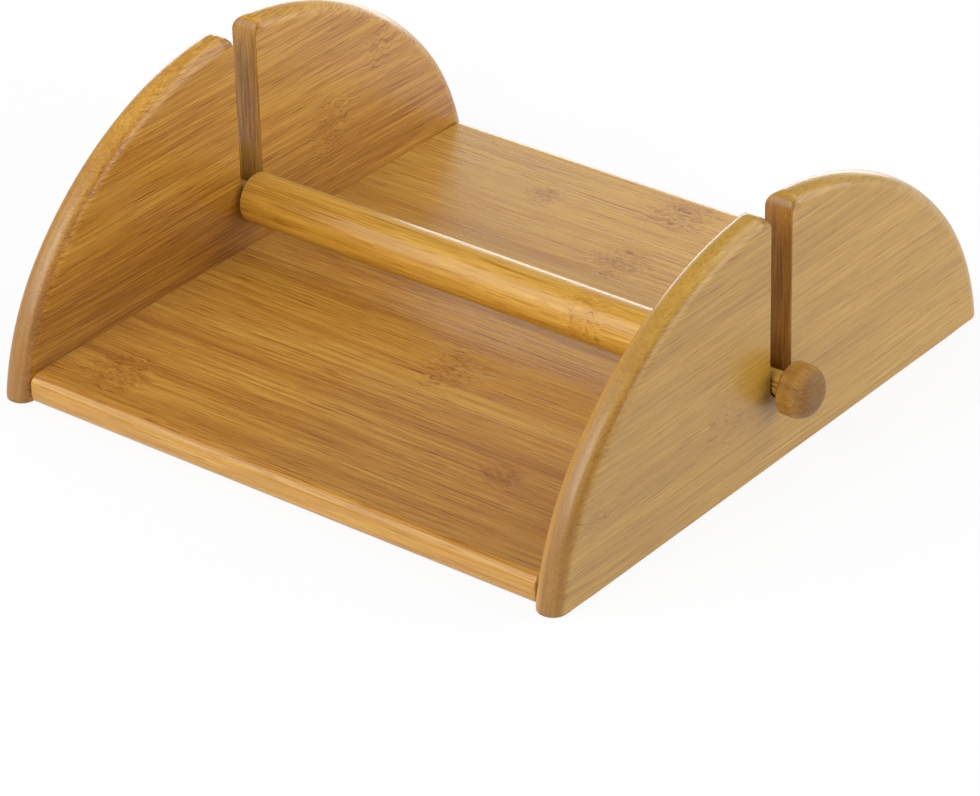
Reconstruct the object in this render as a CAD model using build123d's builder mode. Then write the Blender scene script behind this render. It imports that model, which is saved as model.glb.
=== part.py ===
from build123d import *
import os
from math import acos, asin, atan2, cos, degrees, hypot, sin, sqrt

# Bamboo napkin holder: two half-moon walls on a base plate, and a press bar that slides in their slots.
# X runs along the bar, Y from front to back and Z up; the origin is the middle of the footprint on the table.

# Walls
wall_depth = 189.0
wall_height = 74.0
wall_thickness = 8.5
clear_width = 168.0
crown_radius_share = 1.044
side_radius_share = 0.735
rim_radius = 3.0
foot_radius = 2.0

# Slots in the walls
slot_width = 8.8
mouth_radius = 4.0

# Base plate
base_thickness = 8.5
base_setback = 1.0
base_edge_radius = 3.0

# Press bar, turned from one round with a knob at each end
bar_height = 23.0
bar_diameter = 14.4
bar_end_gap = 1.0
shoulder_chamfer = 0.8
neck_diameter = 6.5
seat_clearance = 0.3
knob_gap = 3.0
knob_length = 8.5
knob_edge_radius = 3.4

# Glued dowels between the base plate and the walls
dowel_diameter = 5.0
dowel_in_wall = 5.0
dowel_in_base = 15.0
dowel_edge_distance = 29.5
glue_clearance = 0.05
glue_pocket = 0.4

# How far a cut runs past the face it leaves
overrun = 2.0

# Sizes that follow from those above
inner_face = clear_width / 2
outer_face = inner_face + wall_thickness
half_depth = wall_depth / 2
base_depth = wall_depth - 2 * base_setback
slot_half = slot_width / 2
slot_floor = bar_height - neck_diameter / 2 - seat_clearance
slot_centre = slot_floor + slot_half
mouth_half = slot_half + mouth_radius
mouth_foot = wall_height - mouth_radius
cut_top = wall_height + overrun
bar_radius = bar_diameter / 2
neck_radius = neck_diameter / 2
bar_half_length = inner_face - bar_end_gap
knob_back = outer_face + knob_gap
knob_end = knob_back + knob_length
dowel_height = base_thickness / 2
dowel_hole_radius = dowel_diameter / 2 + glue_clearance
dowel_offset = base_depth / 2 - dowel_edge_distance
dowel_places = {"front": -dowel_offset, "middle": 0, "rear": dowel_offset}

# The arch has three centres: a crown arc, and at each side a tighter arc, tangent to it, that meets the foot.
# Both radii are shares of the radius of one arc through the crown and both feet.
foot_drop = wall_height - foot_radius
one_arc_radius = (half_depth**2 + foot_drop**2) / (2 * foot_drop)
crown_radius = crown_radius_share * one_arc_radius
side_radius = side_radius_share * one_arc_radius
crown_centre_z = wall_height - crown_radius
centre_distance = crown_radius - side_radius
foot_distance = hypot(half_depth, foot_radius - crown_centre_z)
foot_angle = atan2(foot_radius - crown_centre_z, half_depth)
tangent_angle = foot_angle + acos(
    (centre_distance**2 + foot_distance**2 - side_radius**2) / (2 * centre_distance * foot_distance)
)
side_centre_y = centre_distance * cos(tangent_angle)
side_centre_z = crown_centre_z + centre_distance * sin(tangent_angle)
crown_start = degrees(tangent_angle)
side_start = degrees(asin(-side_centre_z / side_radius))
arch_foot = side_centre_y + sqrt(side_radius**2 - side_centre_z**2)

os.makedirs("parts", exist_ok=True)

# Right wall: three-centred arch with a rounded rim and round foot corners, a slot and three blind dowel holes
with BuildPart() as right_wall:
    wall_plane = Plane.YZ.offset(inner_face)
    with BuildSketch(wall_plane):
        with BuildLine():
            Line((0, 0), (arch_foot, 0))
            CenterArc((side_centre_y, side_centre_z), side_radius, side_start, crown_start - side_start)
            CenterArc((0, crown_centre_z), crown_radius, crown_start, 90 - crown_start)
            mirror(about=Plane.YZ)
        make_face()
    extrude(amount=wall_thickness)
    fillet(right_wall.edges().filter_by(GeomType.CIRCLE), rim_radius)
    with BuildSketch(wall_plane) as foot_outline:
        with Locations((0, cut_top / 2)):
            Rectangle(wall_depth, cut_top)
        fillet(foot_outline.vertices().group_by(Axis.Y)[0], foot_radius)
    extrude(amount=wall_thickness, mode=Mode.INTERSECT)
    # Slot for the bar's neck: round floor, straight sides and a mouth that opens in two quarter rounds
    with BuildSketch(wall_plane):
        with BuildLine():
            CenterArc((0, slot_centre), slot_half, -90, 90)
            Line((slot_half, slot_centre), (slot_half, mouth_foot))
            CenterArc((mouth_half, mouth_foot), mouth_radius, 90, 90)
            Polyline((mouth_half, wall_height), (mouth_half, cut_top), (0, cut_top))
            mirror(about=Plane.YZ)
        make_face()
    extrude(amount=wall_thickness, mode=Mode.SUBTRACT)
    hole_mouths = [Plane((inner_face, y, dowel_height), z_dir=(-1, 0, 0)) for y in dowel_places.values()]
    with Locations(*hole_mouths):
        Hole(dowel_hole_radius, dowel_in_wall + glue_pocket)
right_wall.part.label = "right_wall"
export_step(right_wall.part, "parts/right_wall.step")

# Left wall: the mirror image of the right one
with BuildPart() as left_wall:
    mirror(right_wall.part, about=Plane.YZ)
left_wall.part.label = "left_wall"
export_step(left_wall.part, "parts/left_wall.step")

# Base plate: its front and back edges are rounded, and dowel holes run into both ends
with BuildPart() as base_plate:
    with BuildSketch(Plane.YZ.offset(-inner_face)) as plate_section:
        with Locations((0, base_thickness / 2)):
            Rectangle(base_depth, base_thickness)
        fillet(plate_section.vertices(), base_edge_radius)
    extrude(amount=clear_width)
    for side in (-1, 1):
        hole_mouths = [
            Plane((side * inner_face, y, dowel_height), z_dir=(side, 0, 0)) for y in dowel_places.values()
        ]
        with Locations(*hole_mouths):
            Hole(dowel_hole_radius, dowel_in_base + glue_pocket)
base_plate.part.label = "base_plate"
export_step(base_plate.part, "parts/base_plate.step")

# Press bar: one turned piece, with a neck in each slot and a knob outside each wall
bar_plane = Plane((0, 0, bar_height), x_dir=(1, 0, 0), z_dir=(0, -1, 0))
with BuildPart() as press_bar:
    with BuildSketch(bar_plane) as bar_section:
        with BuildLine():
            Polyline(
                (0, 0),
                (0, bar_radius),
                (bar_half_length, bar_radius),
                (bar_half_length, neck_radius),
                (knob_back, neck_radius),
                (knob_back, bar_radius),
                (knob_end, bar_radius),
                (knob_end, 0),
                close=True,
            )
        make_face()
        chamfer(bar_section.vertices().group_by(Axis.Y)[-1].sort_by(Axis.X)[1:-1], shoulder_chamfer)
        fillet(bar_section.vertices().group_by(Axis.X)[-1].sort_by(Axis.Y)[-1], knob_edge_radius)
        mirror(about=Plane.YZ)
    revolve(axis=Axis((0, 0, bar_height), (1, 0, 0)))
press_bar.part.label = "press_bar"
export_step(press_bar.part, "parts/press_bar.step")

# Dowels: three on each side, each a short way into the wall and further into the base plate
for side_name, side in (("left", -1), ("right", 1)):
    for place, y in dowel_places.items():
        dowel_start = Plane((side * (inner_face - dowel_in_base), y, dowel_height), z_dir=(side, 0, 0))
        with BuildPart() as dowel:
            with BuildSketch(dowel_start):
                Circle(dowel_diameter / 2)
            extrude(amount=dowel_in_base + dowel_in_wall)
        dowel.part.label = f"{side_name}_dowel_{place}"
        export_step(dowel.part, f"parts/{side_name}_dowel_{place}.step")
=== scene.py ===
import bpy
import numpy as np
from mathutils import Matrix, Vector


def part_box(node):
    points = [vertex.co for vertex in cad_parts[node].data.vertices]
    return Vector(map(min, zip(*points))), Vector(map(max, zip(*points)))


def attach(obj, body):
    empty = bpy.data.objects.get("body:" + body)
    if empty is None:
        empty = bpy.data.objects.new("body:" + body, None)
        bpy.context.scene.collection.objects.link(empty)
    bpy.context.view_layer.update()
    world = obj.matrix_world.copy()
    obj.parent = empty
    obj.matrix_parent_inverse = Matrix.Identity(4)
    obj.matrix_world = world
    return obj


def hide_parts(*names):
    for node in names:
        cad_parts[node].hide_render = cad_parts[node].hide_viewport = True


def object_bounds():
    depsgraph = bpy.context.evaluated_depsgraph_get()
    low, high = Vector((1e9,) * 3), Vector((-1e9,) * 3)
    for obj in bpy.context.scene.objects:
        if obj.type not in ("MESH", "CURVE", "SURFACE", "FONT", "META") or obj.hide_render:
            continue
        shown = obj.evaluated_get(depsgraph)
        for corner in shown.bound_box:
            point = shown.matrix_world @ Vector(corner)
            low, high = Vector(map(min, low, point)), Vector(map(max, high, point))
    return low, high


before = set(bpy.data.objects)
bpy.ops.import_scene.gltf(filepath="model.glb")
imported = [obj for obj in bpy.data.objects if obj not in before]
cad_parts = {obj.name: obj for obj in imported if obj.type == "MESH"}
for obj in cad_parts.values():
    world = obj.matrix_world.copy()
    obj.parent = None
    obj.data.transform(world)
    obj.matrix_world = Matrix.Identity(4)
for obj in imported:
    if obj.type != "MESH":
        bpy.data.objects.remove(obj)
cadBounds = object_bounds()
print("frame loaded with", len(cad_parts), "nodes")


# Outlines and profiles: points and outward normals in a plane

# A straight run from p to q, with its normal to the right of the way
def run(p, q, count=2):
    p, q = np.array(p, float), np.array(q, float)
    way = (q - p) / np.linalg.norm(q - p)
    points = p + np.linspace(0, 1, count)[:, None] * (q - p)
    return points, np.tile([way[1], -way[0]], (count, 1))


# An arc about a centre; its normal points away from the centre, or towards it where the arc is hollow
def arc(centre, radius, start, stop, count, hollow=False):
    angle = np.linspace(start, stop, count)
    away = np.stack([np.cos(angle), np.sin(angle)], 1)
    return np.array(centre, float) + radius * away, -away if hollow else away


# Gives a stretch a rounded edge whose radius eases from its first value to its last. The inset vectors say
# how far the edge reaches in from the outline, the spreads how far it reaches in from the board's face
def edged(stretch, first, last):
    points, normals = stretch
    t = np.linspace(0, 1, len(points))
    spreads = first + (last - first) * t * t * (3 - 2 * t)
    return points, normals, spreads[:, None] * normals, spreads


# A foot: round in plan like the rim above it, and turned under on an ellipse as high as its rise
def footCorner(centre, reach, rise, count):
    angle = np.linspace(-np.pi / 2, 0, count)
    insets = np.stack([reach * np.cos(angle), rise * np.sin(angle)], 1)
    normals = np.stack([np.cos(angle) / reach, np.sin(angle) / rise], 1)
    normals /= np.linalg.norm(normals, axis=1)[:, None]
    return np.array(centre, float) + insets, normals, insets, np.full(count, reach)


# Stretches joined end to end
def joined(stretches):
    parts = []
    for values in zip(*stretches):
        parts.append(np.concatenate([part[:-1] for part in values[:-1]] + [values[-1]]))
    return parts


# Half an outline and its mirror image; a closed one shares its first point too
def withMirror(half, closed):
    flip = np.array([-1.0, 1.0])
    back = slice(-2, 0, -1) if closed else slice(-2, None, -1)
    return [np.concatenate([part, part[back] * flip if part.ndim == 2 else part[back]]) for part in half]


# Surfaces: each is a grid of points with a normal at every point

# Handling rubs a tight edge most; one as wide as this or wider is rubbed least
edgeRub = {"least": 0.25, "wideEdge": 0.003}


# A board: an edge profile is carried round the outline. At angle psi of the edge the surface lies 1 - sin psi
# of the inset inside the outline and 1 - cos psi of the spread in from the board's face
def easedBoard(outline, lowFace, highFace, steps):
    points, normals, insets, spreads = outline
    psi = np.linspace(0, np.pi / 2, steps)
    outward = np.concatenate([np.sin(psi), np.sin(psi)[::-1]])
    sideways = np.concatenate([-np.cos(psi), np.cos(psi)[::-1]])
    depth = spreads[:, None] * (1 - np.cos(psi))
    across = np.hstack([lowFace + depth, (highFace - depth)[:, ::-1]])
    rim = points[:, None, :] - (1 - outward)[None, :, None] * insets[:, None, :]
    grid = np.concatenate([across[..., None], rim], -1)
    facing = outward[None, :, None] * normals[:, None, :]
    facingAcross = np.broadcast_to(sideways[None, :, None], across.shape + (1,))
    gridNormals = np.concatenate([facingAcross, facing], -1)
    least = edgeRub["least"]
    sharpness = np.clip(1 + least - spreads[:, None] / edgeRub["wideEdge"], least, 1)
    edge = 2 * np.abs(sideways * outward)[None, :] * sharpness
    return grid, gridNormals, edge


# A turned piece: the profile's radius and its place along X are carried round the axis at this height
def turnedRound(profile, height, turns):
    points, normals, wear = profile
    angle = np.linspace(0, 2 * np.pi, turns, endpoint=False)
    ring = np.stack([np.zeros(turns), np.cos(angle), np.sin(angle)], 1)
    axis = np.array([1.0, 0, 0])
    place = np.array([0, 0, height])
    grid = place + points[None, :, 0, None] * axis + points[None, :, 1, None] * ring[:, None, :]
    gridNormals = normals[None, :, 0, None] * axis + normals[None, :, 1, None] * ring[:, None, :]
    return grid, gridNormals, np.broadcast_to(wear[None, :], grid.shape[:2])


# Puts a grid that closes on itself along its first side into a mesh, with a flat face over each open end
def pieceFromGrid(name, grid, gridNormals, edge, material):
    rows, columns = grid.shape[:2]
    index = np.arange(rows * columns).reshape(rows, columns)
    ahead = np.roll(index, -1, 0)
    quads = np.stack([index[:, :-1], ahead[:, :-1], ahead[:, 1:], index[:, 1:]], -1).reshape(-1, 4)
    ends = [index[::-1, 0].tolist(), index[:, -1].tolist()]
    mesh = bpy.data.meshes.new(name)
    mesh.from_pydata(grid.reshape(-1, 3), [], quads.tolist() + ends)
    mesh.polygons.foreach_set("use_smooth", np.ones(len(mesh.polygons), bool))
    mesh.attributes.new("edge", "FLOAT", "POINT").data.foreach_set("value", edge.astype(np.float32).ravel())
    mesh.update()
    mesh.normals_split_custom_set_from_vertices(gridNormals.reshape(-1, 3).tolist())
    mesh.materials.append(material)
    piece = bpy.data.objects.new(name, mesh)
    bpy.context.scene.collection.objects.link(piece)
    return piece


# Shader helpers: each adds nodes to a tree and gives back the socket that carries the result

# Links a socket, or sets it to a fixed value; a colour is given without its alpha
def feed(tree, socket, value):
    if isinstance(value, bpy.types.NodeSocket):
        tree.links.new(value, socket)
    elif socket.type == "RGBA":
        socket.default_value = (*value, 1)
    else:
        socket.default_value = value


def put(tree, kind, feeds=None, **settings):
    node = tree.nodes.new(kind)
    for name, value in settings.items():
        setattr(node, name, value)
    for name, value in (feeds or {}).items():
        feed(tree, node.inputs[name], value)
    return node


def calc(tree, operation, *values):
    node = put(tree, "ShaderNodeMath", operation=operation)
    for socket, value in zip(node.inputs, values):
        feed(tree, socket, value)
    return node.outputs[0]


def vector(tree, x=0.0, y=0.0, z=0.0):
    return put(tree, "ShaderNodeCombineXYZ", {"X": x, "Y": y, "Z": z}).outputs[0]


def noise(tree, place, detail=2.0, roughness=0.5):
    feeds = {"Vector": place, "Scale": 1.0, "Detail": detail, "Roughness": roughness}
    return put(tree, "ShaderNodeTexNoise", feeds).outputs[0]


# Eases from one value to another while the input goes from low to high
def fade(tree, value, low, high, first=0.0, last=1.0):
    feeds = {"Value": value, "From Min": low, "From Max": high, "To Min": first, "To Max": last}
    return put(tree, "ShaderNodeMapRange", feeds, interpolation_type="SMOOTHSTEP").outputs[0]


def blendColour(tree, factor, first, second, mode="MIX"):
    node = put(tree, "ShaderNodeMix", data_type="RGBA", blend_type=mode)
    for number, value in ((0, factor), (6, first), (7, second)):  # the sockets that colours use
        feed(tree, node.inputs[number], value)
    return node.outputs[2]


def newGroup(name, inputs, outputs):
    tree = bpy.data.node_groups.new(name, "ShaderNodeTree")
    for label in inputs:
        tree.interface.new_socket(label, in_out="INPUT", socket_type="NodeSocketFloat")
    for label in outputs:
        tree.interface.new_socket(label, in_out="OUTPUT", socket_type="NodeSocketFloat")
    return tree, tree.nodes.new("NodeGroupInput").outputs, tree.nodes.new("NodeGroupOutput").inputs


def useGroup(tree, group, feeds):
    return put(tree, "ShaderNodeGroup", feeds, node_tree=group).outputs


# Long grain: glued strips, each with its own tone and its own run of fibres, and thin glue lines between them
grainMarks = {
    "fibre": (0.026, 0.00038), "streak": (0.10, 0.0016), "broad": (0.25, 0.0085),  # length and width
    "dash": (0.012, 0.00042), "line": (0.045, 0.00055),
    "depthShare": 0.6,  # scale through the board, as a share of the one across
    "dashFade": (0.58, 0.72), "lineFade": (0.61, 0.73),  # where a mark begins and where it is full
    "swayScales": (16.0, 60.0), "swayReach": 0.0022,  # counts to the metre along and across, metres
    "stripsApart": 3.7,
    "seamFade": (0.487, 0.497), "seamGaps": 25.0, "gapFade": (0.35, 0.65),  # strip widths from the middle
}


def makeStripGrain():
    tree, given, result = newGroup(
        "stripGrain",
        ("Along", "Across", "Depth", "Strip Width", "Strip Shift", "Seed"),
        ("Fibre", "Streak", "Broad", "Dash", "Line", "Strip", "Seam"),
    )
    strip = calc(tree, "SUBTRACT", given["Across"], given["Strip Shift"])
    strip = calc(tree, "DIVIDE", strip, given["Strip Width"])
    number = calc(tree, "FLOOR", strip)
    cell = calc(tree, "SUBTRACT", strip, number)
    # Each strip draws its tone and where its fibres start
    ticket = {"Vector": vector(tree, number, given["Seed"])}
    drawn = put(tree, "ShaderNodeTexWhiteNoise", ticket, noise_dimensions="2D").outputs["Color"]
    lots = put(tree, "ShaderNodeSeparateColor", {"Color": drawn}).outputs
    start = calc(tree, "ADD", given["Along"], lots["Green"])
    layer = calc(tree, "MULTIPLY_ADD", number, grainMarks["stripsApart"], given["Seed"])
    alongScale, acrossScale = grainMarks["swayScales"]
    swayAlong = calc(tree, "MULTIPLY", start, alongScale)
    swayAcross = calc(tree, "MULTIPLY", given["Across"], acrossScale)
    sway = calc(tree, "SUBTRACT", noise(tree, vector(tree, swayAlong, swayAcross, layer)), 0.5)
    across = calc(tree, "MULTIPLY_ADD", sway, grainMarks["swayReach"], given["Across"])

    # Noise drawn out along the fibres; the shift keeps marks of like size apart
    def stretched(mark, detail, roughness=0.5, shift=0.0):
        length, width = grainMarks[mark]
        place = vector(
            tree,
            calc(tree, "MULTIPLY", start, 1 / length),
            calc(tree, "MULTIPLY_ADD", across, 1 / width, shift),
            calc(tree, "MULTIPLY_ADD", given["Depth"], grainMarks["depthShare"] / width, layer),
        )
        return noise(tree, place, detail, roughness)

    feed(tree, result["Fibre"], stretched("fibre", 2.0, 0.6))
    feed(tree, result["Streak"], stretched("streak", 2.0))
    feed(tree, result["Broad"], stretched("broad", 1.0))
    feed(tree, result["Dash"], fade(tree, stretched("dash", 1.0, shift=31.0), *grainMarks["dashFade"]))
    feed(tree, result["Line"], fade(tree, stretched("line", 1.0, shift=77.0), *grainMarks["lineFade"]))
    feed(tree, result["Strip"], lots["Red"])
    fromMiddle = calc(tree, "ABSOLUTE", calc(tree, "SUBTRACT", cell, 0.5))
    seam = fade(tree, fromMiddle, *grainMarks["seamFade"])
    gaps = calc(tree, "MULTIPLY", given["Along"], grainMarks["seamGaps"])
    broken = fade(tree, noise(tree, vector(tree, gaps, number, layer)), *grainMarks["gapFade"])
    feed(tree, result["Seam"], calc(tree, "MULTIPLY", seam, broken))
    return tree


# End grain: thin layers stacked through the board, with the dark dots of cut fibre bundles. The scales are
# counts to the metre
endMarks = {
    "layersAcross": 70.0, "dotsAcross": 900.0, "through": 1250.0,
    "layerFade": (0.3, 0.7), "dotFade": (0.18, 0.5),
}


def makeEndGrain():
    tree, given, result = newGroup("endGrain", ("Across", "Depth", "Seed"), ("Layer", "Dots"))
    across = calc(tree, "ADD", given["Across"], given["Seed"])
    through = calc(tree, "MULTIPLY", given["Depth"], endMarks["through"])
    layers = vector(tree, calc(tree, "MULTIPLY", across, endMarks["layersAcross"]), through)
    feed(tree, result["Layer"], fade(tree, noise(tree, layers, 2.0, 0.6), *endMarks["layerFade"]))
    spots = vector(tree, calc(tree, "MULTIPLY", across, endMarks["dotsAcross"]), through)
    cells = put(tree, "ShaderNodeTexVoronoi", {"Vector": spots, "Scale": 1.0}, voronoi_dimensions="2D")
    feed(tree, result["Dots"], fade(tree, cells.outputs["Distance"], *endMarks["dotFade"], 1.0, 0.0))
    return tree


# A knuckle of the cane: a brown stain about a place, ragged at its edge, full of short dark specks. Near it
# the fibres leave their line by the swirl. The scales, along and across, are counts to the metre. Swirl and
# stain fade over these shares of the knuckle's size
knuckleMarks = {
    "swirl": (240.0, 420.0), "swirlReach": 0.005, "swirlFade": (0.5, 1.5),
    "ragged": (230.0, 480.0), "raggedness": 1.3, "stainFade": (0.3, 1.15),
    "specks": (430.0, 1150.0), "speckFade": (0.45, 0.60), "betweenSpecks": 0.30,
}


def makeKnuckle():
    tree, given, result = newGroup(
        "caneKnuckle",
        ("Along", "Across", "Place Along", "Place Across", "Length", "Width"),
        ("Patch", "Swirl"),
    )

    def grain(mark, detail):
        alongScale, acrossScale = knuckleMarks[mark]
        x = calc(tree, "MULTIPLY", given["Along"], alongScale)
        y = calc(tree, "MULTIPLY", given["Across"], acrossScale)
        return noise(tree, vector(tree, x, y), detail)

    u = calc(tree, "DIVIDE", calc(tree, "SUBTRACT", given["Along"], given["Place Along"]), given["Length"])
    v = calc(tree, "DIVIDE", calc(tree, "SUBTRACT", given["Across"], given["Place Across"]), given["Width"])
    away = calc(tree, "SQRT", calc(tree, "ADD", calc(tree, "MULTIPLY", u, u), calc(tree, "MULTIPLY", v, v)))
    swirl = calc(tree, "SUBTRACT", grain("swirl", 1.0), 0.5)
    swirl = calc(tree, "MULTIPLY", swirl, knuckleMarks["swirlReach"])
    near = fade(tree, away, *knuckleMarks["swirlFade"], 1.0, 0.0)
    feed(tree, result["Swirl"], calc(tree, "MULTIPLY", swirl, near))
    ragged = calc(tree, "SUBTRACT", grain("ragged", 2.0), 0.5)
    away = calc(tree, "MULTIPLY_ADD", ragged, knuckleMarks["raggedness"], away)
    stain = fade(tree, away, *knuckleMarks["stainFade"], 1.0, 0.0)
    specks = fade(tree, grain("specks", 2.0), *knuckleMarks["speckFade"], knuckleMarks["betweenSpecks"], 1.0)
    feed(tree, result["Patch"], calc(tree, "MULTIPLY", stain, specks))
    return tree


# The lacquer film: patchy gloss, and edges that handling has rubbed paler. The scales are counts to the metre
filmMarks = {"gloss": 55.0, "rubbed": 420.0, "rubbedFade": (0.35, 0.7)}


def makeLacquer():
    tree, given, result = newGroup("lacquerFilm", ("Along", "Across", "Depth", "Edge"), ("Gloss", "Rubbed"))

    def patches(mark, detail, roughness=0.5):
        scale = filmMarks[mark]
        place = [calc(tree, "MULTIPLY", given[label], scale) for label in ("Along", "Across", "Depth")]
        return noise(tree, vector(tree, *place), detail, roughness)

    feed(tree, result["Gloss"], patches("gloss", 3.0, 0.6))
    rubbed = fade(tree, patches("rubbed", 2.0), *filmMarks["rubbedFade"])
    feed(tree, result["Rubbed"], calc(tree, "MULTIPLY", rubbed, given["Edge"]))
    return tree


stripGrain, endGrain = makeStripGrain(), makeEndGrain()
caneKnuckle, lacquerFilm = makeKnuckle(), makeLacquer()
print("shader groups ready")


# What all the bamboo here has in common. A piece's own look adds its seed, the shift of its strips, its dark,
# middle and pale tones and the tint of its knuckles, and changes what it needs. A turn says how far the
# surface faces along an axis of the grain where an effect begins and where it ends
bambooLook = {
    "grainAxes": ("X", "Y", "Z"), "stripWidth": 0.0205,
    "fibre": 1.5, "streak": 0.6, "broad": 0.75, "strip": 0.16,  # how far each moves the tone
    # The drifts are painted light and shade: the tone runs paler where more light falls and darker where
    # shade falls
    "paintedLightDrifts": (),  # axis, from, to, tone at each
    "dash": 1.0, "line": 0.9, "seam": 0.7, "fleck": (0.62, 0.47, 0.22),  # strengths of dark marks, their tint
    "knuckles": (),  # places along and across, length, width
    "bands": (), "bandFade": (0.3, 0.6), "bandLeast": 0.4,  # place across, reach, strength of a dark streak
    # Side pale paints surfaces that face across the strips paler: partly the smoother grain of a routed edge,
    # partly painted light
    "sidePale": 0.0, "sideTurn": (0.35, 0.95), "rubbed": 0.35,
    "cutTurn": (0.25, 0.85), "cutDull": 0.4, "cutRough": 0.08,
    "endDark": (0.29, 0.125, 0.026), "endPale": (0.45, 0.225, 0.065), "endDots": 0.45,
    "endBase": 0.3, "endSwing": 0.4,  # how pale the darkest layer is, and how much paler the palest
    "tips": None,  # distance from the middle, tint
    # Slot tones are painted light and shade on the cut ends inside a slot
    "slot": None,  # half width, dark and pale tones
    "softEdge": 0.0008,  # length over which tips and slot fade
    # The rim line is painted shade: a dark line along a wall's front rim where it meets the face, with its
    # strength and turns
    "rimShadeLine": 0.0, "shadeLineTurn": (0.5, 0.8), "shadeLineEndTurn": (0.95, 0.997),
    # Painted light: a front rim's left-facing side tinted paler with the rim tint, over these turns
    "rimPaintedLight": 0.0, "litSideTurn": (-0.6, 0.0), "rimPale": (0.52, 0.265, 0.060), "frontTurn": (-0.45, -0.1),
    "roughness": 0.36, "roughSwing": 0.25, "coat": 0.18, "coatSwing": 0.2, "coatRoughness": 0.18,
    "bump": 0.25, "bumpDepth": 0.0002, "fibreHeight": 0.5, "fleckHeight": -0.6, "dotHeight": -0.5,
}


# All the knuckles' stains, and the place across the strips as the knuckles bend it
def knuckleStains(tree, look, along, across):
    patch, flow = 0.0, across
    for placeAlong, placeAcross, length, width in look["knuckles"]:
        spot = useGroup(tree, caneKnuckle, {
            "Along": along, "Across": across, "Place Along": placeAlong, "Place Across": placeAcross,
            "Length": length, "Width": width,
        })
        patch = calc(tree, "MAXIMUM", patch, spot["Patch"])
        flow = calc(tree, "ADD", flow, spot["Swirl"])
    return patch, flow


# The colour along the fibres, and its flecks. Tone goes from 0, dark, to 1, pale
def fibreColour(tree, look, along, across, grain):
    tone = 0.5
    for mask in ("Fibre", "Streak", "Broad", "Strip"):
        swing = calc(tree, "SUBTRACT", grain[mask], 0.5)
        tone = calc(tree, "MULTIPLY_ADD", swing, look[mask.lower()], tone)
    # Painted light and shade: the tone drifts along an axis, paler where light falls, darker in shade
    for axis, *ends in look["paintedLightDrifts"]:
        tone = calc(tree, "ADD", tone, fade(tree, along if axis == "along" else across, *ends))
    ramp = put(tree, "ShaderNodeValToRGB", {"Fac": tone})
    stops = ramp.color_ramp.elements
    stops[0].color = look["dark"] + (1,)
    stops[1].color = look["pale"] + (1,)
    stops.new(0.5).color = look["middle"] + (1,)
    fleck = 0.0
    for mask in ("Dash", "Line", "Seam"):
        fleck = calc(tree, "MAXIMUM", fleck, calc(tree, "MULTIPLY", grain[mask], look[mask.lower()]))
    return blendColour(tree, fleck, ramp.outputs[0], look["fleck"], "MULTIPLY"), fleck


# Dark streaks along the fibres, weaker where the broad grain is pale
def withBands(tree, look, across, grain, colour):
    for bandAcross, reach, strength in look["bands"]:
        away = calc(tree, "ABSOLUTE", calc(tree, "SUBTRACT", across, bandAcross))
        uneven = fade(tree, grain["Broad"], *look["bandFade"], strength, look["bandLeast"] * strength)
        band = calc(tree, "MULTIPLY", fade(tree, away, 0.0, reach, 1.0, 0.0), uneven)
        colour = blendColour(tree, band, colour, look["fleck"], "MULTIPLY")
    return colour


# The colour of cut ends, with painted light and shade inside a slot, and its dots
def cutColour(tree, look, along, end):
    layer = calc(tree, "MULTIPLY_ADD", end["Layer"], look["endSwing"], look["endBase"])
    colour = blendColour(tree, layer, look["endDark"], look["endPale"])
    if look["slot"]:
        reach, slotDark, slotPale = look["slot"]
        # Inside a slot the cut ends take painted tones that stand for the slot's light and shade
        inside = fade(tree, calc(tree, "ABSOLUTE", along), reach, reach + look["softEdge"], 1.0, 0.0)
        slotLightAndShade = blendColour(tree, end["Layer"], slotDark, slotPale)
        colour = blendColour(tree, inside, colour, slotLightAndShade)
    dots = calc(tree, "MULTIPLY", end["Dots"], look["endDots"])
    return blendColour(tree, dots, colour, look["fleck"], "MULTIPLY"), dots


# A wall's front rim gets painted shade on one side, a dark line where it meets the face, and painted light on
# the other, a paler tint on its left-facing side
def withRim(tree, look, facingAlong, facingThrough, colour):
    front = fade(tree, facingAlong, *look["frontTurn"], 1.0, 0.0)
    # Painted shade: a dark line where the front rim turns into the face, on the front only
    line = fade(tree, facingThrough, *look["shadeLineTurn"])
    line = calc(tree, "MULTIPLY", line, fade(tree, facingThrough, *look["shadeLineEndTurn"], 1.0, 0.0))
    line = calc(tree, "MULTIPLY", calc(tree, "MULTIPLY", line, front), look["rimShadeLine"])
    colour = blendColour(tree, line, colour, look["fleck"], "MULTIPLY")
    # Painted light: the left-facing side of the front rim is tinted paler, as if lit from the left
    worn = fade(tree, facingThrough, *look["litSideTurn"], look["rimPaintedLight"], 0.0)
    return blendColour(tree, calc(tree, "MULTIPLY", worn, front), colour, look["rimPale"])


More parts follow.
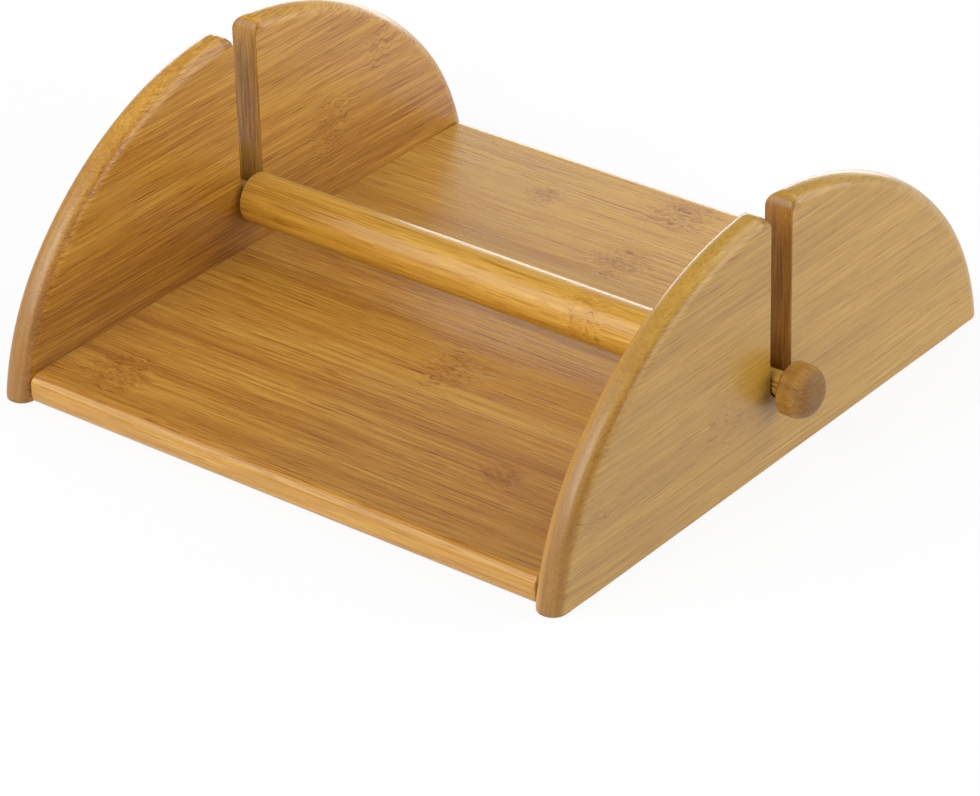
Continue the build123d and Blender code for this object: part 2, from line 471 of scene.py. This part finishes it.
# Lacquered bamboo. The look's grain axes say which way the fibres run, which way the strips lie side by side
# and which way goes through the board
def bambooMaterial(name, look):
    material = bpy.data.materials.new(name)
    material.use_nodes = True
    tree = material.node_tree
    tree.nodes.clear()
    coordinates = put(tree, "ShaderNodeTexCoord").outputs
    place = put(tree, "ShaderNodeSeparateXYZ", {"Vector": coordinates["Object"]}).outputs
    facing = put(tree, "ShaderNodeSeparateXYZ", {"Vector": coordinates["Normal"]}).outputs
    along, across, depth = (place[axis] for axis in look["grainAxes"])
    facingAlong, facingAcross, facingThrough = (facing[axis] for axis in look["grainAxes"])

    patch, flow = knuckleStains(tree, look, along, across)
    grain = useGroup(tree, stripGrain, {
        "Along": along, "Across": flow, "Depth": depth, "Seed": look["seed"],
        "Strip Width": look["stripWidth"], "Strip Shift": look["stripShift"],
    })
    end = useGroup(tree, endGrain, {"Across": across, "Depth": depth, "Seed": look["seed"]})
    edge = put(tree, "ShaderNodeAttribute", attribute_name="edge").outputs["Fac"]
    film = useGroup(tree, lacquerFilm, {"Along": along, "Across": across, "Depth": depth, "Edge": edge})

    colour, fleck = fibreColour(tree, look, along, across, grain)
    if look["knuckles"]:
        colour = blendColour(tree, patch, colour, look["knuckle"], "MULTIPLY")
    colour = withBands(tree, look, across, grain, colour)
    # Partly painted light: faces turned across the strips, such as front and back edges and a crown, are
    # tinted paler
    if look["sidePale"]:
        side = fade(tree, calc(tree, "ABSOLUTE", facingAcross), *look["sideTurn"], 0.0, look["sidePale"])
        colour = blendColour(tree, side, colour, look["pale"])

    # Where the surface turns across the fibres it shows their cut ends, with less lacquer left on them
    cut = fade(tree, calc(tree, "ABSOLUTE", facingAlong), *look["cutTurn"])
    dull = cut
    if look["tips"]:
        start, tint = look["tips"]
        tip = fade(tree, calc(tree, "ABSOLUTE", along), start, start + look["softEdge"])
        colour = blendColour(tree, tip, colour, tint, "MULTIPLY")
        dull = calc(tree, "MAXIMUM", cut, tip)
    endColour, dots = cutColour(tree, look, along, end)
    colour = blendColour(tree, cut, colour, endColour)
    if look["rimShadeLine"]:
        colour = withRim(tree, look, facingAlong, facingThrough, colour)
    rubbed = calc(tree, "MULTIPLY", film["Rubbed"], look["rubbed"])
    colour = blendColour(tree, rubbed, colour, look["pale"])

    gloss = calc(tree, "SUBTRACT", film["Gloss"], 0.5)
    rough = calc(tree, "MULTIPLY_ADD", gloss, look["roughSwing"], look["roughness"])
    rough = calc(tree, "MULTIPLY_ADD", dull, look["cutRough"], rough)
    coat = calc(tree, "MULTIPLY_ADD", film["Gloss"], look["coatSwing"], look["coat"])
    coat = calc(tree, "MULTIPLY", coat, calc(tree, "MULTIPLY_ADD", dull, -look["cutDull"], 1.0))
    # Fibres stand up a little; flecks and the dots of the cut ends lie deeper
    height = calc(tree, "MULTIPLY", fleck, look["fleckHeight"])
    height = calc(tree, "MULTIPLY_ADD", grain["Fibre"], look["fibreHeight"], height)
    height = calc(tree, "MULTIPLY_ADD", calc(tree, "MULTIPLY", dots, cut), look["dotHeight"], height)
    bump = put(tree, "ShaderNodeBump", {
        "Height": height, "Strength": look["bump"], "Distance": look["bumpDepth"],
    })
    shader = put(tree, "ShaderNodeBsdfPrincipled", {
        "Base Color": colour, "Roughness": rough, "Coat Weight": coat, "Normal": bump.outputs[0],
        "Coat Roughness": look["coatRoughness"], "IOR": 1.5,
    })
    put(tree, "ShaderNodeOutputMaterial", {"Surface": shader.outputs[0]})
    return material


# Base plate: a board with rounded front and back edges, its ends just eased where they meet the walls
basePlate = {
    "edgeRadius": 0.003, "setback": 0.0017, "endEase": 0.0003, "cornerEase": 0.0008, "easeRun": 0.008,
    "cornerPoints": 13, "easeSteps": 6,
    "look": bambooLook | {
        "seed": 4.0, "stripShift": -0.0510,
        "dark": (0.295, 0.108, 0.009), "middle": (0.440, 0.195, 0.024), "pale": (0.578, 0.326, 0.055),
        "fleck": (0.69, 0.51, 0.22), "knuckle": (0.71, 0.57, 0.39),
        # Painted reflection: the plate's rear is drifted paler, as the sheen of the back light
        "sidePale": 0.35, "fibre": 1.9, "paintedLightDrifts": (("across", -0.045, 0.03, 0.03, 0.34),),
        "bands": ((-0.0500, 0.0035, 0.55), (-0.0512, 0.0007, 0.6), (-0.0090, 0.0030, 0.3)),
        "knuckles": (
            (-0.067, -0.0765, 0.011, 0.010), (0.0050, -0.0240, 0.010, 0.011), (0.0027, 0.081, 0.011, 0.009),
            (0.0055, 0.049, 0.010, 0.009), (-0.035, 0.0686, 0.007, 0.006), (0.0480, -0.0585, 0.007, 0.006),
        ),
    },
}


def makeBasePlate():
    low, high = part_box("base_plate")
    r, count = basePlate["edgeRadius"], basePlate["cornerPoints"]
    halfDepth = high.y - basePlate["setback"]
    ease, corner = basePlate["endEase"], basePlate["cornerEase"]
    level, flat = halfDepth - r, halfDepth - r - basePlate["easeRun"]
    quarter = np.pi / 2
    half = joined([
        edged(run((0, low.z), (flat, low.z)), ease, ease),
        edged(run((flat, low.z), (level, low.z), count), ease, corner),
        edged(arc((level, low.z + r), r, -quarter, 0, count), corner, corner),
        edged(run((halfDepth, low.z + r), (halfDepth, high.z - r)), corner, corner),
        edged(arc((level, high.z - r), r, 0, quarter, count), corner, corner),
        edged(run((level, high.z), (flat, high.z), count), corner, ease),
        edged(run((flat, high.z), (0, high.z)), ease, ease),
    ])
    surface = easedBoard(withMirror(half, closed=True), low.x, high.x, basePlate["easeSteps"])
    return pieceFromGrid("basePlate", *surface, bambooMaterial("baseBamboo", basePlate["look"]))


# Half-moon walls: a three-centred arch on small round feet, and a slot whose mouth flares into the rim
wallLook = bambooLook | {
    # Side pale here tints the crown paler: partly smoother grain, partly painted light
    "grainAxes": ("Y", "Z", "X"), "sidePale": 0.3, "rubbed": 0.1, "cutTurn": (0.25, 0.95), "endDots": 0.2,
    # The rim line is painted shade along the front rim where it meets the face
    "rimShadeLine": 0.6,
}
wallBoard = {
    "crownHeight": 0.074, "crownShare": 1.044, "sideShare": 0.735, "footRadius": 0.002,
    "slotHalf": 0.0044, "slotFloor": 0.01945, "mouthRadius": 0.004,
    "rimRadius": 0.0041, "slotEase": 0.0004, "underEase": 0.0008, "footRise": 0.0007, "fanLength": 0.012,
    "crownPoints": 70, "sidePoints": 40, "smallPoints": 17, "easeSteps": 9,
    "leftLook": wallLook | {
        "seed": 11.0, "stripShift": 0.0090,
        "dark": (0.290, 0.110, 0.009), "middle": (0.465, 0.210, 0.023), "pale": (0.630, 0.340, 0.056),
        "fibre": 1.9, "streak": 0.70, "broad": 0.65, "dash": 0.9,
        # Painted shade and light: the wall darker towards the bottom and paler towards the back
        "paintedLightDrifts": (("across", 0.012, 0.066, -0.18, 0.16), ("along", -0.03, 0.02, 0.0, 0.15)),
        "endDark": (0.235, 0.102, 0.014), "endPale": (0.38, 0.185, 0.036),
        # Painted light: this slot's tones are paler than the cut ends elsewhere, as if more lit
        "slot": (0.0045, (0.265, 0.110, 0.010), (0.46, 0.236, 0.029)),
        "knuckles": (
            (0.034, 0.0310, 0.009, 0.009), (0.056, 0.0470, 0.007, 0.006), (-0.051, 0.060, 0.005, 0.005),
        ),
        "knuckle": (0.84, 0.75, 0.60),
    },
    "rightLook": wallLook | {
        "seed": 23.0, "stripShift": 0.0130,
        "dark": (0.288, 0.137, 0.012), "middle": (0.431, 0.231, 0.028), "pale": (0.560, 0.334, 0.055),
        "fibre": 1.15, "streak": 0.45, "broad": 0.5, "dash": 0.6, "line": 0.65,
        # Painted light: the wall darker at the front and paler at the back, where the lamp is near
        "paintedLightDrifts": (("along", -0.06, 0.05, -0.10, 0.03),),
        "endDark": (0.220, 0.097, 0.013), "endPale": (0.36, 0.176, 0.034),
        # Painted light and shade on this wall: its front rim's left-facing side is tinted paler as painted
        # light, and its slot is painted darker and redder as painted shade
        "slot": (0.0045, (0.21, 0.078, 0.007), (0.35, 0.152, 0.020)), "rimPaintedLight": 0.6,
        "knuckles": ((-0.023, 0.0230, 0.011, 0.008), (-0.078, 0.022, 0.006, 0.006)),
        "knuckle": (0.89, 0.83, 0.72),
    },
}


def wallOutline(halfDepth):
    height, footRadius = wallBoard["crownHeight"], wallBoard["footRadius"]
    slotHalf, slotFloor, mouthRadius = (wallBoard[k] for k in ("slotHalf", "slotFloor", "mouthRadius"))
    # The crown's centre lies on the middle line. A side arc is tangent to the crown arc and meets the foot
    drop = height - footRadius
    oneArc = (halfDepth**2 + drop**2) / (2 * drop)
    crownRadius, sideRadius = wallBoard["crownShare"] * oneArc, wallBoard["sideShare"] * oneArc
    crownZ = height - crownRadius
    apart, reach = crownRadius - sideRadius, np.hypot(halfDepth, footRadius - crownZ)
    turn = np.arccos((apart**2 + reach**2 - sideRadius**2) / (2 * apart * reach))
    tangent = np.arctan2(footRadius - crownZ, halfDepth) + turn
    sideY, sideZ = apart * np.cos(tangent), crownZ + apart * np.sin(tangent)
    # The side arc ends a little above the table, where the foot turns under. A mouth's arc is tangent to the
    # crown and to the slot's side
    rise, rim, under, slot = (wallBoard[k] for k in ("footRise", "rimRadius", "underEase", "slotEase"))
    heel = np.arcsin((footRadius - sideZ) / sideRadius)
    footY = sideY + sideRadius * np.cos(heel) - rim
    fan = footY - wallBoard["fanLength"]
    mouthY = slotHalf + mouthRadius
    mouthZ = crownZ + np.sqrt((crownRadius - mouthRadius) ** 2 - mouthY**2)
    lip = np.arctan2(mouthZ - crownZ, mouthY)
    few, some, many = wallBoard["smallPoints"], wallBoard["sidePoints"], wallBoard["crownPoints"]
    underside = edged(run((fan, 0), (footY, 0), few), under, rim)
    underside[2][:, 1] = np.linspace(-under, -rise, few)
    return joined([
        edged(run((0, 0), (fan, 0)), under, under),
        underside,
        footCorner((footY, rise), rim, rise, few),
        edged(arc((sideY, sideZ), sideRadius, heel, tangent, some), rim, rim),
        edged(arc((0, crownZ), crownRadius, tangent, lip, many), rim, rim),
        edged(arc((mouthY, mouthZ), mouthRadius, lip, np.pi, few), rim, slot),
        edged(run((slotHalf, mouthZ), (slotHalf, slotFloor + slotHalf)), slot, slot),
        edged(arc((0, slotFloor + slotHalf), slotHalf, 0, -np.pi / 2, few, hollow=True), slot, slot),
    ])


def makeWall(name, node, look):
    low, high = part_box(node)
    outline = withMirror(wallOutline(high.y), closed=True)
    surface = easedBoard(outline, low.x, high.x, wallBoard["easeSteps"])
    return pieceFromGrid(name, *surface, bambooMaterial(name + "Bamboo", look))


# Press bar: one turned round with a neck in each slot and a knob outside each wall
pressBar = {
    "endGap": 0.001, "knobGap": 0.003, "shoulder": 0.0008, "neckRadius": 0.00325, "root": 0.0005,
    "knobEdge": 0.0050, "turns": 96, "cornerPoints": 9,
    "look": bambooLook | {
        "seed": 37.0, "stripWidth": 0.0062, "stripShift": -0.0012,
        "dark": (0.33, 0.140, 0.010), "middle": (0.535, 0.272, 0.030), "pale": (0.70, 0.410, 0.075),
        "fibre": 1.1, "streak": 0.9, "broad": 0.6, "dash": 0.6, "line": 1.0, "seam": 0.9,
        # Painted shade and light: the bar darker at its left end by the wall and paler to the right, where
        # its highlight is
        "paintedLightDrifts": (("along", -0.075, 0.07, -0.04, 0.12),),
        "endDark": (0.15, 0.062, 0.007), "endPale": (0.27, 0.120, 0.018), "cutDull": 0.95, "cutRough": 0.26,
        "tips": (0.0941, (0.62, 0.55, 0.50)),
        "knuckles": ((0.0345, -0.003, 0.007, 0.006),), "knuckle": (0.84, 0.76, 0.62),
    },
}


def makePressBar():
    low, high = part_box("press_bar")
    innerFace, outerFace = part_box("right_wall")[0].x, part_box("right_wall")[1].x
    radius, neck = (high.z - low.z) / 2, pressBar["neckRadius"]
    barEnd, knobBack, knobEnd = innerFace - pressBar["endGap"], outerFace + pressBar["knobGap"], high.x
    soft, root, knobEdge, few = (pressBar[k] for k in ("shoulder", "root", "knobEdge", "cornerPoints"))
    quarter = np.pi / 2

    # A stretch of the profile with how much handling wears it
    def worn(stretch, wear):
        return *stretch, np.full(len(stretch[0]), wear)

    half = joined([
        worn(arc((knobEnd - knobEdge, radius - knobEdge), knobEdge, 0, quarter, 2 * few), 0.1),
        worn(run((knobEnd - knobEdge, radius), (knobBack + soft, radius)), 0.1),
        worn(arc((knobBack + soft, radius - soft), soft, quarter, 2 * quarter, few), 0.8),
        worn(run((knobBack, radius - soft), (knobBack, neck + root)), 0.0),
        worn(arc((knobBack - root, neck + root), root, 0, -quarter, few, hollow=True), 0.0),
        worn(run((knobBack - root, neck), (barEnd + root, neck)), 0.0),
        worn(arc((barEnd + root, neck + root), root, -quarter, -2 * quarter, few, hollow=True), 0.0),
        worn(run((barEnd, neck + root), (barEnd, radius - soft)), 0.0),
        worn(arc((barEnd - soft, radius - soft), soft, 0, quarter, few), 0.8),
        worn(run((barEnd - soft, radius), (0, radius)), 0.0),
    ])
    profile = [part[::-1] for part in withMirror(half, closed=False)]
    surface = turnedRound(profile, (low.z + high.z) / 2, pressBar["turns"])
    return pieceFromGrid("pressBar", *surface, bambooMaterial("barBamboo", pressBar["look"]))


pieces = [
    (makeBasePlate(), "holder", "base_plate", "base_bamboo"),
    (makeWall("leftWall", "left_wall", wallBoard["leftLook"]), "holder", "left_wall", "wall_bamboo"),
    (makeWall("rightWall", "right_wall", wallBoard["rightLook"]), "holder", "right_wall", "wall_bamboo"),
    (makePressBar(), "bar", "press_bar", "bar_bamboo"),
]
for piece, body, node, slotName in pieces:
    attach(piece, body)
    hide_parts(node)
    print(piece.name, "has", len(piece.data.polygons), "faces and rides on", body)


# Dowels: pale hidden pins with a dull finish
dowelPin = {
    "look": bambooLook | {
        "seed": 51.0, "stripWidth": 0.03, "stripShift": 0.015,
        "dark": (0.40, 0.24, 0.11), "middle": (0.52, 0.34, 0.17), "pale": (0.62, 0.44, 0.25),
        "roughness": 0.6, "coat": 0.0, "rubbed": 0.0,
    },
}
dowelMaterial = bambooMaterial("dowelWood", dowelPin["look"])
for name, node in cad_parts.items():
    if "dowel" in name:
        node.data.materials.clear()
        node.data.materials.append(dowelMaterial)
print("dowels finished")


# Floor: white to the camera and in reflections, and a plain diffuse surface that keeps a soft shadow
floorSheet = {"halfSize": 6.0, "white": 0.88, "diffuse": (0.86, 0.86, 0.86)}


def makeFloor():
    material = bpy.data.materials.new("paleFloor")
    material.use_nodes = True
    tree = material.node_tree
    tree.nodes.clear()
    path = put(tree, "ShaderNodeLightPath").outputs
    seen = calc(tree, "MAXIMUM", path["Is Camera Ray"], path["Is Glossy Ray"])
    seen = calc(tree, "MAXIMUM", seen, path["Is Transmission Ray"])
    plain = put(tree, "ShaderNodeBsdfDiffuse", {"Color": floorSheet["diffuse"]})
    white = put(tree, "ShaderNodeEmission", {"Color": (1, 1, 1), "Strength": 1.0})
    both = put(tree, "ShaderNodeMixShader", {"Fac": calc(tree, "MULTIPLY", seen, floorSheet["white"])})
    feed(tree, both.inputs[1], plain.outputs[0])
    feed(tree, both.inputs[2], white.outputs[0])
    put(tree, "ShaderNodeOutputMaterial", {"Surface": both.outputs[0]})
    half = floorSheet["halfSize"]
    mesh = bpy.data.meshes.new("floor")
    corners = np.array([(-half, -half, 0), (half, -half, 0), (half, half, 0), (-half, half, 0)])
    mesh.from_pydata(corners + np.array([0, 0, cadBounds[0].z]), [], [(0, 1, 2, 3)])
    mesh.materials.append(material)
    floor = bpy.data.objects.new("floor", mesh)
    bpy.context.scene.collection.objects.link(floor)


# Studio light: a lamp's level is what it adds to a white surface that faces it at the object
studio = {
    "world": 0.27,
    "target": (0.0, 0.0, 0.03),
    "lamps": {
        "front": {"towards": (0.07, -0.80, 0.60), "distance": 1.6, "size": (1.0, 1.0), "level": 0.72},
        "right": {"towards": (0.82, 0.48, 0.27), "distance": 0.8, "size": (0.95, 0.40), "level": 0.50},
        "frontLeft": {"towards": (-0.57, -0.65, 0.50), "distance": 1.5, "size": (1.1, 1.1), "level": 0.38},
        "overhead": {"towards": (0.42, 0.50, 0.76), "distance": 1.5, "size": (0.7, 0.7), "level": 0.20},
        "backPanel": {"towards": (-0.42, 0.86, 0.22), "distance": 0.33, "size": (0.55, 0.17), "level": 0.13},
        "lowBack": {"towards": (-0.53, 0.84, 0.05), "distance": 0.60, "size": (0.70, 0.10), "level": 0.28},
    },
}


def makeLights():
    world = bpy.data.worlds.new("studioWorld")
    bpy.context.scene.world = world
    world.use_nodes = True
    background = world.node_tree.nodes["Background"].inputs
    background["Color"].default_value = (1, 1, 1, 1)
    background["Strength"].default_value = studio["world"]
    target = Vector(studio["target"])
    for name, lamp in studio["lamps"].items():
        towards = Vector(lamp["towards"]).normalized()
        light = bpy.data.lights.new(name, "AREA")
        light.shape = "RECTANGLE"
        light.size, light.size_y = lamp["size"]
        light.energy = lamp["level"] * np.pi**2 * lamp["distance"] ** 2
        holder = bpy.data.objects.new(name, light)
        holder.location = target + towards * lamp["distance"]
        holder.rotation_mode = "QUATERNION"
        holder.rotation_quaternion = towards.to_track_quat("Z", "Y")
        holder.visible_camera = False
        bpy.context.scene.collection.objects.link(holder)


# Camera: angles in degrees, place in metres, and the focal length in widths of the picture
viewpoint = {
    "azimuth": 38.777, "elevation": 30.276, "roll": -1.514,
    "eye": (0.6704, -0.8374, 0.6134), "focalWidths": 4.7116,
    "sensorWidth": 36.0, "nearest": 0.05, "farthest": 50.0,
}


def makeCamera():
    azimuth, elevation, roll = np.radians([viewpoint[k] for k in ("azimuth", "elevation", "roll")])
    level = np.cos(elevation)
    back = Vector((np.sin(azimuth) * level, -np.cos(azimuth) * level, np.sin(elevation)))
    right = Vector((np.cos(azimuth), np.sin(azimuth), 0))
    up = back.cross(right)
    right, up = np.cos(roll) * right + np.sin(roll) * up, np.cos(roll) * up - np.sin(roll) * right
    data = bpy.data.cameras.new("camera")
    data.sensor_width = viewpoint["sensorWidth"]
    data.lens = viewpoint["focalWidths"] * viewpoint["sensorWidth"]
    data.clip_start, data.clip_end = viewpoint["nearest"], viewpoint["farthest"]
    camera = bpy.data.objects.new("camera", data)
    turn = Matrix((right, up, back)).transposed().to_4x4()
    camera.matrix_world = Matrix.Translation(viewpoint["eye"]) @ turn
    bpy.context.scene.collection.objects.link(camera)
    bpy.context.scene.camera = camera


makeFloor()
makeLights()
makeCamera()
bpy.context.scene.view_settings.view_transform = "Standard"
print("floor, lights and camera ready")
